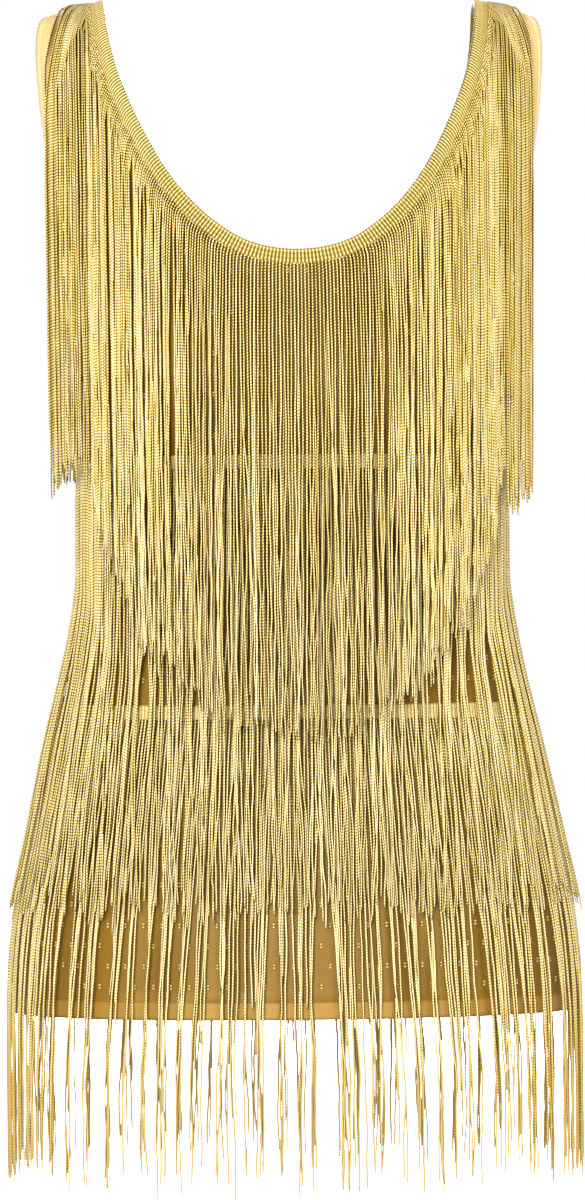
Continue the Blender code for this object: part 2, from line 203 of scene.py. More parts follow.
# The bunches that fringe falls into: the hip fringe from above the hem down, and the chest fringe
# where it crosses the hip braid, which shows between its bunches. Columns: the left and the right
# edge of a bunch, in pixels of the camera's view.
CENTRE_PIXEL = 296.3
METRES_PER_PIXEL = 0.00068
HEM_GATHERING = (-0.52, -0.665)
BAND_GATHERING = (-0.418, -0.466)
BAND_RELEASE = (-0.56, -0.50)
LOOSE_SHARE = 0.06
LOOSE_PULL = 0.4
MIDDLE_PULL = 0.15
BUNCH_INSET = 0.0008
HEM_BUNCHES = (
    (6, 57), (69, 80), (84, 92), (109, 117), (125, 134), (144, 148),
    (158, 168), (177, 184), (192, 206), (211, 214), (220, 238),
    (244, 262), (280, 289), (294, 315), (340, 358), (362, 383),
    (388, 407), (413, 422), (437, 440), (449, 472), (477, 480),
    (491, 520), (525, 534), (543, 553), (562, 584),
)
BAND_BUNCHES = (
    (30, 64), (64, 90), (90, 116), (116, 142), (151, 165), (170, 197),
    (200, 210), (216, 228), (236, 261), (267, 278), (282, 304),
    (313, 328), (333, 347), (356, 380), (380, 408), (417, 421),
    (425, 432), (441, 455), (458, 472), (481, 497), (504, 560),
)
SHORT_SHARE = 0.42
SHORTEST_DROP = -0.665
SHORT_RANGE = 0.085

# Painted shade on the strands: how much darker they are painted towards the shoulders, where more light
# reaches them, and the heights between which that grows;
# then a smaller amount painted darker above the middle of the front, where the key light falls most.
# Strands of the upper layer are painted lighter than those under them, which stand in their shade.
TOP_PAINTED_SHADE = 0.30
TOP_PAINTED_SHADE_HEIGHTS = (-0.32, -0.06)
MIDDLE_PAINTED_SHADE = 0.16
MIDDLE_PAINTED_SHADE_HEIGHTS = (-0.42, -0.34)
UPPER_LAYER_PAINTED_LIGHT = 0.14
# Heights over which the strand ends below the hem turn a deeper gold: partly the yarn's tint, partly
# painted shade against the open light there.
LOW_END_TINT_AND_SHADE_HEIGHTS = (-0.650, -0.730)

# Looks. SHADE darkens every colour to suit the bright studio.
SHADE = 0.38
GOLD_TINT = (1.0, 0.80, 0.36, 1.0)
STITCH_LENGTH = 0.0020
TWILL_PITCH = 0.0021
EDGE_STITCH_LENGTH = 0.0028
EDGE_STITCH_INSET = 0.0042

# Creases of the cloth. Columns: x and height at the top of the trough, x and height at its bottom,
# its half width and its depth.
CREASES = {
    FRONT: (
        (-0.030, -0.520, -0.044, -0.690, 0.009, 0.0032),
        (0.018, -0.545, 0.026, -0.690, 0.007, 0.0024),
        (0.066, -0.500, 0.088, -0.690, 0.011, 0.0038),
        (-0.088, -0.560, -0.100, -0.690, 0.008, 0.0026),
        (0.118, -0.575, 0.136, -0.690, 0.008, 0.0022),
        (-0.128, -0.500, -0.156, -0.672, 0.010, 0.0030),
        (-0.004, -0.600, -0.008, -0.690, 0.006, 0.0016),
        (0.100, -0.150, 0.062, -0.215, 0.009, 0.0022),
        (-0.112, -0.165, -0.070, -0.225, 0.008, 0.0024),
        (0.050, -0.345, 0.128, -0.372, 0.007, 0.0022),
        (-0.036, -0.362, -0.122, -0.392, 0.008, 0.0026),
        (0.030, -0.400, 0.120, -0.418, 0.006, 0.0018),
    ),
    BACK: (
        (-0.020, -0.535, -0.028, -0.690, 0.008, 0.0028),
        (0.044, -0.510, 0.060, -0.690, 0.010, 0.0034),
        (-0.078, -0.520, -0.098, -0.690, 0.011, 0.0036),
        (0.104, -0.560, 0.122, -0.690, 0.007, 0.0022),
        (-0.136, -0.540, -0.152, -0.680, 0.008, 0.0026),
        (0.106, -0.160, 0.066, -0.230, 0.009, 0.0026),
        (-0.104, -0.150, -0.060, -0.215, 0.008, 0.0022),
        (0.024, -0.372, 0.118, -0.394, 0.008, 0.0028),
        (-0.040, -0.352, -0.126, -0.384, 0.007, 0.0024),
    ),
}

# Panel grid, with columns that even out over the first SPREAD_SHARE of the way below the underarm
UPPER_ROWS = 40
UPPER_CROWDING = 1.25
HALF_COLUMNS = 36
LOWER_STEP = 0.0085
SPREAD_SHARE = 0.10
HEM_STEPS = (0.0004, 0.0010, 0.0030, 0.0060, 0.0094, 0.0108, 0.0114, HEM_TURN)

# The pale cloth beside an armhole: how far it reaches round the form, and below the underarm
ARMHOLE_EDGE_DEGREES = 9.0
ARMHOLE_EDGE_DROP = 0.012

# The turned armhole edge. Its outer rings come back on the inside of the cloth. Columns: how far a
# ring is from the cloth's edge, and how far off the form.
EDGE_RINGS = ((0.0055, 0.00025), (0.0050, 0.00055), (0.0042, 0.00040), (0.0034, 0.00055), (0.0015, 0.00065))
EDGE_FOLD = ((0.0002, 0.0005), (-0.0006, -0.0003), (-0.0006, -0.0013), (0.0002, -0.0021))

# The side seams' allowances, behind the cloth
ALLOWANCE = 0.007
ALLOWANCE_DEPTHS = (0.0021, 0.0027)
ALLOWANCE_ROWS = 60

# Thread tacks on the cloth, in a staggered grid. Columns of a tack's rings: share of its size, how high it
# is off the cloth,
# how light it is painted: painted shade at the foot on the cloth, lighter above.
TACK_COLUMN_STEP = 0.0125
TACK_ROW_STEP = 0.027
TACK_HALF_LENGTH = 0.0014
TACK_HALF_WIDTH = 0.0011
TACK_SPACING = 0.0020
TACK_RINGS = ((1.0, 0.0, 0.0), (0.72, 0.0008, 0.75))
TACK_HEIGHT = 0.0012

# Camera
CAMERA_DISTANCE = 4.0
CAMERA_HEIGHT = -0.4026
VIEW_HEIGHT = 0.816
CAMERA_YAW_DEGREES = 2.3
CAMERA_ROLL_DEGREES = -0.43

# Studio
FLOOR_REACH = 9.0
FLOOR_HEIGHT = -0.86
LIGHT_AIM = (0, 0, -0.35)

SEED = 20

TABLE_HEIGHTS = np.linspace(FORM[-1][0], FORM[0][0], 3521)


def cubic(points, slope, i, t, width=1.0):
    """Values on a smooth curve, at a share t of the way from point i to the next one."""
    bend = width * t * (1 - t) * ((1 - t) * slope[i] - t * slope[i + 1])
    return points[i] + (points[i + 1] - points[i]) * t * t * (3 - 2 * t) + bend


def curves(table, names):
    """A smooth curve through each column of a table, read at the table heights."""
    rows = np.array(table)[::-1]
    x = rows[:, 0]
    i = np.clip(np.searchsorted(x, TABLE_HEIGHTS) - 1, 0, len(x) - 2)
    width = x[i + 1] - x[i]
    t = (np.clip(TABLE_HEIGHTS, x[0], x[-1]) - x[i]) / width
    return {name: cubic(y, np.gradient(y, x), i, t, width) for name, y in zip(names[1:], rows.T[1:])}


FORM_CURVES = curves(FORM, FORM_COLUMNS)
CLEARANCE_CURVES = curves(CLEARANCE, CLEARANCE_COLUMNS)


def form(name, height):
    return np.interp(height, TABLE_HEIGHTS, FORM_CURVES[name])


def through(points, at):
    """Points on a smooth curve through a short list of points, read at fractions of their number."""
    points = np.array(points)
    i = np.clip(np.floor(at).astype(int), 0, len(points) - 2)
    return cubic(points, np.gradient(points, axis=0), i, (at - i)[:, None])


def shoulder_height(x):
    return SHOULDER_HEIGHT + SHOULDER_SLOPE * (NECK_HALF_WIDTH - np.abs(x))


def roundness(x, height):
    top = shoulder_height(x)
    return np.clip((height - SHOULDER_ROUND_START) / (top - SHOULDER_ROUND_START), 0, None)


def depth_at(side, x, height):
    """How far the form is from the middle plane, at a place seen from the front."""
    name = "front_depth" if side == FRONT else "back_depth"
    across = np.clip(1 - (np.abs(x) / form("half_width", height)) ** SECTION_POWER, 0, None)
    up = np.clip(1 - roundness(x, height) ** SECTION_POWER, 0, None)
    return form(name, height) * (across * up) ** (1 / SECTION_POWER)


def width_at(angle, height):
    return form("half_width", height) * np.sin(np.radians(angle)) ** (2 / SECTION_POWER)


def angle_at(x, height):
    share = np.clip(np.abs(x) / form("half_width", height), 0, 1)
    return np.degrees(np.arcsin(share ** (SECTION_POWER / 2)))


def on_form(side, x, height):
    y = side * (depth_at(side, x, height) + SEAM_GAP / 2)
    return np.stack([x, y, height], axis=-1)


def level_line(side, angles, height):
    """Points round the form at one height."""
    heights = np.full(len(angles), height)
    return on_form(side, width_at(angles, heights), heights)


def level(points):
    """A number that is 0 on the form, less inside it and more outside it."""
    x = np.abs(points[..., 0])
    y = points[..., 1]
    height = points[..., 2]
    depth = np.where(y < 0, form("front_depth", height), form("back_depth", height))
    across = 1 - (x / form("half_width", height)) ** SECTION_POWER
    up = 1 - roundness(x, height) ** SECTION_POWER
    both = np.where((across > 0) & (up > 0), across * up, -np.abs(across * up))
    return (np.abs(y) / depth) ** SECTION_POWER - both


def outward(points):
    """The direction away from the form, and how fast the level grows that way."""
    step = 2e-5
    grow = np.zeros_like(points)
    for axis in range(3):
        move = np.zeros(3)
        move[axis] = step
        grow[..., axis] = (level(points + move) - level(points - move)) / (2 * step)
    rate = np.linalg.norm(grow, axis=-1, keepdims=True)
    return grow / np.maximum(rate, 1e-9), rate[..., 0]


def unit(vectors):
    return vectors / np.maximum(np.linalg.norm(vectors, axis=-1, keepdims=True), 1e-12)


def level_beside(away):
    """The level directions along the form, from those away from it."""
    flat = unit(away * (1, 1, 0))
    return np.stack([-flat[..., 1], flat[..., 0], np.zeros_like(flat[..., 0])], axis=-1)


def seam_side(points):
    """Normals at a panel's points, kept in the seam's plane where the point is on the seam."""
    direction, _ = outward(points)
    on_seam = np.abs(points[..., 1]) < SEAM_GAP
    direction[..., 1] = np.where(on_seam, 0, direction[..., 1])
    return unit(direction)


def settle(points, side):
    """Points brought onto the form from near it, with those on a seam kept on it."""
    on_seam = np.abs(points[..., 1]) < 2 * SEAM_GAP
    for _ in range(6):
        away, rate = outward(points)
        away[..., 1] = np.where(on_seam, 0, away[..., 1])
        points = points - away * (level(points) / rate)[..., None]
    points[..., 1] = np.where(on_seam, side * SEAM_GAP / 2, points[..., 1])
    return points


def evenly(points, count):
    """Points at equal steps of length along a dense line."""
    return read_line(points, np.linspace(0, measure(points)[-1], count))


def read_line(points, at):
    """Points at given lengths along a dense line."""
    along = measure(points)
    return np.stack([np.interp(at, along, points[:, k]) for k in range(3)], axis=1)


def measure(points):
    return np.concatenate([[0], np.cumsum(np.linalg.norm(np.diff(points, axis=0), axis=1))])


def neck_line(side):
    """The neck edge from the centre to the shoulder line. It crosses the centre level."""
    table = np.array(NECKLINE)[:, 0 if side == FRONT else 1:: 2]
    table = np.concatenate([table[1:2] * (-1, 1), table])
    shares = 1 - (1 - np.linspace(0, 1, 3 * LINE_POINTS)) ** 2
    flat = through(table, 1 + shares * (len(table) - 2))
    return evenly(on_form(side, flat[:, 0], flat[:, 1]), LINE_POINTS)


def armhole_line(side, count=LINE_POINTS):
    flat = through(ARMHOLE, np.linspace(0, len(ARMHOLE) - 1, 3 * count))
    x = width_at(flat[:, 1], flat[:, 0])
    height = np.minimum(flat[:, 0], shoulder_height(x))
    return evenly(on_form(side, x, height), count)


def panel_point(side, angle, drop):
    """A point at an angle round the form and a drop below the shoulder line over it."""
    x = width_at(angle, -drop)
    for _ in range(12):
        height = shoulder_height(x) - drop
        x = width_at(angle, height)
    return on_form(side, x, height)


def smooth(start, end, value):
    """A soft step from 0 at the start to 1 at the end, which may be the lower of the two."""
    t = np.clip((value - start) / (end - start), 0, 1)
    return t * t * (3 - 2 * t)


def crease_depth(side, points):
    """How far the creases sink the cloth at each point."""
    x = points[..., 0]
    height = points[..., 2]
    depth = np.zeros_like(x)
    for x_top, top, x_low, low, half_width, deepest in CREASES[side]:
        run = (x_low - x_top, low - top)
        length = math.hypot(*run)
        along = ((x - x_top) * run[0] + (height - top) * run[1]) / length
        across = ((x - x_top) * run[1] - (height - top) * run[0]) / length
        bow = 0.004 * np.sin(math.pi * along / length)
        grow = smooth(-0.02, 0.6 * length, along) * (1 - smooth(length, length + 0.03, along))
        width = half_width * (0.7 + 0.6 * np.clip(along / length, 0, 1))
        depth += deepest * grow * np.exp(-(((across - bow) / width) ** 2))
    return depth


def fill(name, points, faces, material):
    """A mesh object from its points and faces, riding on the part's one body."""
    mesh = bpy.data.meshes.new(name)
    faces = np.asarray(faces)
    corners = faces.shape[1]
    mesh.vertices.add(len(points))
    mesh.vertices.foreach_set("co", np.asarray(points, np.float32).ravel())
    mesh.loops.add(faces.size)
    mesh.loops.foreach_set("vertex_index", faces.astype(np.int32).ravel())
    mesh.polygons.add(len(faces))
    mesh.polygons.foreach_set("loop_start", np.arange(0, faces.size, corners, dtype=np.int32))
    mesh.polygons.foreach_set("loop_total", np.full(len(faces), corners, np.int32))
    mesh.update(calc_edges=True)
    mesh.validate()
    mesh.materials.append(material)
    mesh.shade_smooth()
    piece = link(name, mesh)
    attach(piece, BODY)
    return piece


def give(piece, name, values):
    """A number at each point, which the material reads."""
    layer = piece.data.attributes.new(name, "FLOAT", "POINT")
    layer.data.foreach_set("value", np.asarray(values, np.float32).ravel())


def give_uv(piece, name, at_corners):
    layer = piece.data.uv_layers.new(name=name)
    layer.data.foreach_set("uv", np.asarray(at_corners, np.float32).ravel())


def link(name, data):
    """A new object in the scene."""
    thing = bpy.data.objects.new(name, data)
    bpy.context.scene.collection.objects.link(thing)
    return thing


class Nodes:
    """A short way to write a material's nodes."""

    def __init__(self, name):
        self.material = bpy.data.materials.new(name)
        self.material.use_nodes = True
        self.tree = self.material.node_tree
        self.shader = self.tree.nodes["Principled BSDF"]

    def add(self, kind, **settings):
        node = self.tree.nodes.new(kind)
        for key, value in settings.items():
            setattr(node, key, value)
        return node

    def join(self, source, target):
        self.tree.links.new(source, target)

    def put(self, target, value):
        if hasattr(value, "is_output"):
            self.join(value, target)
        else:
            target.default_value = value

    def math(self, operation, a, b=0.0, c=0.0, clamp=False):
        node = self.add("ShaderNodeMath", operation=operation, use_clamp=clamp)
        for socket, value in zip(node.inputs, (a, b, c)):
            self.put(socket, value)
        return node.outputs[0]

    def scale(self, value, factor, plus):
        return self.math("MULTIPLY_ADD", value, factor, plus)

    def mix(self, share, a, b):
        node = self.add("ShaderNodeMix", data_type="RGBA")
        self.put(node.inputs[0], share)
        self.put(node.inputs[6], a)
        self.put(node.inputs[7], b)
        return node.outputs[2]

    def read(self, name):
        return self.add("ShaderNodeAttribute", attribute_name=name).outputs["Fac"]

    def uv(self, name):
        node = self.add("ShaderNodeUVMap", uv_map=name)
        split = self.add("ShaderNodeSeparateXYZ")
        self.join(node.outputs[0], split.inputs[0])
        return split.outputs[0], split.outputs[1]

    def noise(self, scale, detail=2.0):
        node = self.add("ShaderNodeTexNoise")
        node.inputs["Scale"].default_value = scale
        node.inputs["Detail"].default_value = detail
        self.join(self.add("ShaderNodeTexCoord").outputs["Object"], node.inputs["Vector"])
        return node.outputs[0]

    def ramp(self, value, stops):
        node = self.add("ShaderNodeValToRGB")
        elements = node.color_ramp.elements
        while len(elements) < len(stops):
            elements.new(0.5)
        for element, (place, colour) in zip(elements, stops):
            element.position = place
            element.color = colour
        self.put(node.inputs[0], value)
        return node.outputs[0]

    def bump(self, height, distance, strength):
        node = self.add("ShaderNodeBump")
        node.inputs["Distance"].default_value = distance
        node.inputs["Strength"].default_value = strength
        self.join(height, node.inputs["Height"])
        self.join(node.outputs[0], self.shader.inputs["Normal"])

    def finish(self, colour, roughness, sheen=0.0, specular=0.5, tint=(1.0, 1.0, 1.0, 1.0)):
        self.put(self.shader.inputs["Base Color"], colour)
        self.put(self.shader.inputs["Roughness"], roughness)
        self.shader.inputs["Sheen Weight"].default_value = sheen
        self.shader.inputs["Sheen Roughness"].default_value = 0.4
        self.shader.inputs["Specular IOR Level"].default_value = specular
        self.shader.inputs["Specular Tint"].default_value = tint
        return self.material


def linear(red, green, blue):
    """A colour given in the 0 to 255 numbers of a display, as the shader wants it."""
    return (*(SHADE * ((c / 255 + 0.055) / 1.055) ** 2.4 for c in (red, green, blue)), 1.0)


def strand_material():
    """Rayon chain stitch: a row of slanting loops, with a painted highlight on top and painted shade at
    each strand's edges, between the strands.
    """
    n = Nodes("fringe_strand")
    across, along = n.uv("strand")
    place = n.scale(across, 0.7, n.math("DIVIDE", along, STITCH_LENGTH))
    wave = n.math("SINE", n.math("MULTIPLY", place, 2 * math.pi))
    loop = n.scale(wave, 0.5, 0.5)
    # Painted highlight on each strand's outward corner, fading to painted shade at its other two corners,
    # between the strands.
    painted_ridge_light = n.math("POWER", n.math("PINGPONG", n.math("MULTIPLY", across, 2.0), 1.0), 0.75)
    spread = n.noise(55.0)
    # The painted highlight is strongest on the stitch loops along that ridge.
    painted_highlight = n.math("MULTIPLY", painted_ridge_light, n.scale(loop, 0.62, 0.33))
    rest = n.scale(n.read("tone_and_shading"), 0.24, n.scale(spread, 0.16, -0.11))
    value = n.math("ADD", painted_highlight, rest, clamp=True)
    # From painted shade between the strands up to a near-white painted highlight.
    colour = n.ramp(value, (
        (0.0, linear(44, 28, 0)),
        (0.26, linear(130, 94, 0)),
        (0.52, linear(208, 176, 70)),
        (0.76, linear(236, 219, 158)),
        (1.0, linear(250, 246, 240)),
    ))
    # A deeper gold on the ends below the hem: partly the yarn's tint, partly painted shade against the open
    # light there.
    colour = n.mix(n.math("MULTIPLY", n.read("low_end_tint_and_shade"), 0.62), colour, linear(188, 148, 58))
    rough = n.scale(loop, -0.10, 0.46)
    n.bump(loop, 0.0004, 0.8)
    return n.finish(colour, rough, specular=0.22, tint=GOLD_TINT)


def braid_material():
    """The same yarn worked into a braid, with its relief painted on as shade: dark in the grooves, a
    painted highlight on the ridges.
    """
    n = Nodes("fringe_braid")
    relief_shade = n.read("relief_shade")
    grain = n.noise(900.0)
    rest = n.scale(grain, 0.24, -0.06)
    # Painted shade from the relief: dark in the grooves, light on the ridges.
    value = n.math("ADD", n.math("MULTIPLY", relief_shade, 0.86), rest, clamp=True)
    colour = n.ramp(value, (
        (0.0, linear(20, 12, 0)),
        (0.30, linear(104, 80, 14)),
        (0.62, linear(180, 154, 78)),
        (1.0, linear(240, 222, 160)),
    ))
    rough = n.scale(relief_shade, -0.14, 0.54)
    n.bump(grain, 0.0003, 0.6)
    return n.finish(colour, rough, specular=0.25, tint=GOLD_TINT)


def cloth_material():
    """Satin stretch cloth with a fine diagonal twill, lighter where the hem is turned up, with painted
    shade under the fringe and along the hem's lower edge.
    """
    n = Nodes("dress_cloth")
    across, up = n.uv("cloth")
    lean = n.scale(up, -0.8, across)
    twill = n.math("SINE", n.math("MULTIPLY", lean, 2 * math.pi / TWILL_PITCH))
    twill = n.scale(twill, 0.5, 0.5)
    cloud = n.noise(14.0, 3.0)
    fine = n.noise(420.0)
    value = n.scale(cloud, 0.35, n.math("MULTIPLY", twill, 0.42))
    value = n.math("ADD", value, n.scale(fine, 0.2, 0.05), clamp=True)
    plain = n.ramp(value, (
        (0.15, linear(90, 62, 4)),
        (0.55, linear(134, 98, 22)),
        (0.95, linear(172, 132, 50)),
    ))
    # Painted shade under the fringe.
    colour = n.mix(n.read("fringe_shade"), plain, linear(104, 70, 4))
    turned = n.math("MULTIPLY", n.read("turned"), 0.6)
    colour = n.mix(turned, colour, linear(156, 116, 48))
    colour = n.mix(n.read("near_arm"), colour, linear(234, 194, 128))
    # Painted shade along the hem's lower edge.
    colour = n.mix(n.read("hem_edge_shade"), colour, linear(110, 74, 12))
    rough = n.scale(twill, 0.10, 0.44)
    n.bump(twill, 0.00016, 0.7)
    return n.finish(colour, rough, sheen=0.05, specular=0.25, tint=GOLD_TINT)


def binding_material():
    """The turned edge of an armhole: the same cloth, smooth and paler, with its stitch line."""
    n = Nodes("armhole_cloth")
    across, along = n.uv("binding")
    stitch_row = n.math("COMPARE", across, EDGE_STITCH_INSET, 0.00045)
    stitches = n.math("FRACT", n.math("DIVIDE", along, EDGE_STITCH_LENGTH))
    dash = n.math("GREATER_THAN", stitches, 0.35)
    stitch = n.math("MULTIPLY", stitch_row, dash)
    cloud = n.noise(60.0)
    plain = n.ramp(cloud, (
        (0.25, linear(222, 178, 112)),
        (0.75, linear(240, 204, 142)),
    ))
    colour = n.mix(stitch, plain, linear(160, 112, 40))
    n.bump(stitch, 0.0003, 0.8)
    rough = n.scale(cloud, 0.12, 0.42)
    return n.finish(colour, rough, sheen=0.15, specular=0.45)


def tack_material():
    """Thread tacks: pale thread, with painted shade round the foot where it meets the cloth and a painted
    highlight on top.
    """
    n = Nodes("tack_thread")
    grain = n.noise(1200.0, 1.0)
    value = n.math("ADD", n.math("MULTIPLY", n.read("relief_shade"), 0.8), n.math("MULTIPLY", grain, 0.2))
    colour = n.ramp(value, (
        (0.10, linear(60, 36, 0)),
        (0.60, linear(150, 112, 30)),
        (1.0, linear(236, 206, 130)),
    ))
    n.bump(grain, 0.0002, 0.6)
    rough = n.scale(grain, 0.1, 0.4)
    return n.finish(colour, rough, specular=0.3, tint=GOLD_TINT)


def grid_faces(rows, columns, flip=False, closed=False, first=0):
    """Four-cornered faces between the rows and columns of a grid of points."""
    r = np.arange(rows - 1)[:, None]
    c = np.arange(columns if closed else columns - 1)[None, :]
    after = (c + 1) % columns
    low = r + 1
    faces = np.stack([r * columns + c, r * columns + after, low * columns + after, low * columns + c], -1)
    faces = faces.reshape(-1, 4) + first
    return faces[:, ::-1] if flip else faces


def panel_half(side):
    """Outer points of half a panel: rows from the shoulder to the hem, columns to the side."""
    neck = neck_line(side)[::-1]
    armhole = armhole_line(side)
    share = np.linspace(0, 1, HALF_COLUMNS + 1)
    rows = []
    for i in range(UPPER_ROWS + 1):
        at = round((i / UPPER_ROWS) ** UPPER_CROWDING * (len(neck) - 1))
        ends = np.array([neck[at], armhole[at]])
        angle = angle_at(ends[:, 0], ends[:, 2])
        drop = shoulder_height(ends[:, 0]) - ends[:, 2]
        mix_angle = angle[0] + (angle[1] - angle[0]) * share
        mix_drop = drop[0] + (drop[1] - drop[0]) * share
        rows.append(panel_point(side, mix_angle, mix_drop))
    start = rows[-1]
    turn = HEM_HEIGHT + HEM_TURN
    body_rows = round((start[-1, 2] - turn) / LOWER_STEP)
    angle = angle_at(start[:, 0], start[:, 2])
    for i in range(1, body_rows + 1):
        heights = start[:, 2] + (turn - start[:, 2]) * i / body_rows
        blend = smooth(0, SPREAD_SHARE, i / body_rows)
        rows.append(on_form(side, width_at(angle + (90 * share - angle) * blend, heights), heights))
    for step in HEM_STEPS:
        rows.append(level_line(side, 90 * share, turn - step))
    grid = np.array(rows)
    grid[UPPER_ROWS:, 0, 0] = 0
    return grid


def panel_skins(side, outer, normal, turned):
    """The outer and the inner points of half a panel, sunk at its creases and thicker at its hem."""
    on_seam = np.abs(outer[..., 1]) < SEAM_GAP
    sunk = np.where(on_seam, 0.3, 1.0) * crease_depth(side, outer)
    hem = turned * HEM_PROUD
    return [outer - normal * (sunk - hem)[..., None], outer - normal * (sunk + hem + WALL)[..., None]]


def panel_faces(rows, columns, first, flip):
    """Faces of half a panel's two skins and of its rim, but not where it meets the other half."""
    inner = rows * columns
    at = np.arange(inner).reshape(rows, columns) + first
    a = np.concatenate([at[0, :-1], at[:-1, -1], at[-1, 1:], at[1:UPPER_ROWS + 1, 0]])
    b = np.concatenate([at[0, 1:], at[1:, -1], at[-1, :-1], at[:UPPER_ROWS, 0]])
    rim = np.stack([a, inner + a, inner + b, b], axis=1)
    outside = grid_faces(rows, columns, flip=flip, first=first)
    inside = grid_faces(rows, columns, flip=not flip, first=first + inner)
    return [outside, inside, rim[:, ::-1] if flip else rim]


def shade_panel(piece, points):
    """Where the cloth is paler beside an armhole, and where shade is painted on it: under the fringe, more
    in the middle than at the sides, and along the hem's lower edge.
    """
    wide = np.abs(points[:, 0])
    height = points[:, 2]
    beside = smooth(ARMHOLE_EDGE_DEGREES, 4.0, beside_armhole(points))
    give(piece, "near_arm", beside * smooth(UNDERARM - ARMHOLE_EDGE_DROP, UNDERARM, height))
    # Painted shade: darker in the middle of the front and back than at the sides.
    middle = 1 - 0.5 * smooth(0.04, 0.16, wide)
    # Painted shade under the fringe, and in a band just above the hem.
    fringe_shade = 0.90 * smooth(-0.54, -0.36, height) * smooth(0.165, 0.145, wide)
    low = 0.95 * smooth(-0.700, -0.655, height) * (1 - smooth(-0.60, -0.50, height))
    give(piece, "fringe_shade", np.maximum(fringe_shade * middle, low * middle))
    # Painted shade along the hem's lower edge.
    give(piece, "hem_edge_shade", smooth(HEM_HEIGHT + 0.0022, HEM_HEIGHT + 0.0006, height))


def make_panel(name, side, material):
    """One cloth panel: a thin closed shell with its creases and its turned-up hem."""
    right = panel_half(side)
    rows, columns = right.shape[:2]
    normals = seam_side(right)
    normals[UPPER_ROWS:, 0, 0] = 0
    normals = unit(normals)
    turn = HEM_HEIGHT + HEM_TURN
    turned = np.repeat(smooth(turn + 0.0002, turn - 0.0008, right[:, :1, 2]), columns, axis=1)
    blocks = []
    faces = []
    spans = []
    for half in (1, -1):
        outer = right * (half, 1, 1)
        faces += panel_faces(rows, columns, len(blocks) * rows * columns, side * half < 0)
        blocks += panel_skins(side, outer, normals * (half, 1, 1), turned)
        arc = np.cumsum(np.linalg.norm(np.diff(outer, axis=1, prepend=outer[:, :1]), axis=2), axis=1)
        spans += [np.stack([half * arc + outer[:, :1, 0], outer[..., 2]], -1)] * 2
    points = np.concatenate(blocks).reshape(-1, 3)
    faces = np.concatenate(faces)
    piece = fill(name, points, faces, material)
    give(piece, "turned", [turned] * len(blocks))
    shade_panel(piece, points)
    give_uv(piece, "cloth", np.concatenate(spans).reshape(-1, 2)[faces.ravel()])
    weld = piece.modifiers.new("middle", "WELD")
    weld.merge_threshold = 0.00002
    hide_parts(name.replace("dress_", "") + "_panel")
    return piece


def braid_edge(side, tier):
    """The top edge of a braid from one end to the other."""
    if tier == "neck":
        half = neck_line(side)
    else:
        height = CHEST_BRAID_HEIGHT if tier == "chest" else HIP_BRAID_HEIGHT
        half = evenly(level_line(side, np.linspace(0, 90, 900), height), LINE_POINTS)
    return np.concatenate([half[:0:-1] * (-1, 1, 1), half])


def braid_frame(side, tier, at):
    """Points on a braid's top edge, their normals and the way down across the braid.

    The last value is each point's place, from -1 at one end of the braid to 1 at the other.
    """
    edge = braid_edge(side, tier)
    length = measure(edge)[-1]
    top = read_line(edge, at)
    normal = seam_side(top)
    ahead = unit(read_line(edge, at + 1e-4) - read_line(edge, at - 1e-4))
    across = unit(np.cross(ahead, normal)) * -side
    ends = (at < 1e-6) | (at > length - 1e-6)
    across[:, 1] = np.where(ends, 0, across[:, 1])
    return top, normal, unit(across), at / length * 2 - 1


def slant(tier, place):
    """How far a ridge leans down its braid where the neckline is steep, as a share of its width."""
    most = RIDGE_SLANT if tier.name == "neck" else 0
    return most * smooth(0.20, 0.60, np.abs(place)) * np.sign(place)


def braid_relief_shade(tier, at, pitch, place, share):
    """How high, and so how light, the yarn is along one row, at a share of the braid's width; the same
    number paints its shade, light on the ridges and dark in the grooves.
    """
    neck = tier.name == "neck"
    steep = smooth(0.25, 0.6, np.abs(place)) if neck else np.zeros_like(place)
    down = share * BRAID_WIDTH
    phase = at / pitch + slant(tier, place) * share ** 2 * down / pitch
    ridge = np.abs(np.sin(math.pi * phase)) ** 1.5
    row_wave = 0.5 + 0.5 * np.cos(2 * math.pi * down / CELL_HEIGHT)
    knit = (0.38 - 0.30 * steep if neck else 0.20) * row_wave
    edge = np.exp(-(((share - 0.10) / 0.05) ** 2)) * 0.75 * (1 - steep)
    dash = np.exp(-((share / 0.07) ** 2)) * (0.5 + 0.5 * np.cos(2 * math.pi * at / pitch))
    light = np.maximum(ridge * (1 - knit), edge) * (1 - 0.8 * dash)
    return light if neck else 0.48 + 0.52 * light


def make_braid(name, side, tier, material):
    """A braid: ridges of yarn lie side by side across it, between a cord along either edge."""
    length = measure(braid_edge(side, tier.name))[-1]
    ridges = round(length / RIDGE_PITCH)
    at = np.linspace(0, length, ridges * tier.samples + 1)
    top, normal, across, place = braid_frame(side, tier.name, at)
    relief_height = RIDGE_RELIEF * (1.0 if tier.name == "neck" else LEVEL_RELIEF_SHARE)
    outer = []
    relief_shade = []
    for share in np.linspace(0, 1, tier.rows):
        point = settle(top + across * share * BRAID_WIDTH, side)
        # The relief both raises the yarn and paints its shade.
        light = braid_relief_shade(tier, at, length / ridges, place, share)
        height = BRAID_BASE + relief_height * light
        outer.append(point + seam_side(point) * height[:, None])
        relief_shade.append(light)
    low = settle(top + across * BRAID_WIDTH, side)
    outer += [low + seam_side(low) * SEAM_GAP, top + normal * SEAM_GAP]
    relief_shade += [np.zeros_like(at)] * 2
    rows = len(outer)
    faces = grid_faces(rows + 1, len(at), flip=side == BACK) % (rows * len(at))
    piece = fill(name, np.concatenate(outer), faces, material)
    give(piece, "relief_shade", np.array(relief_shade))
    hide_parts(name.replace("braid", "fringe"))


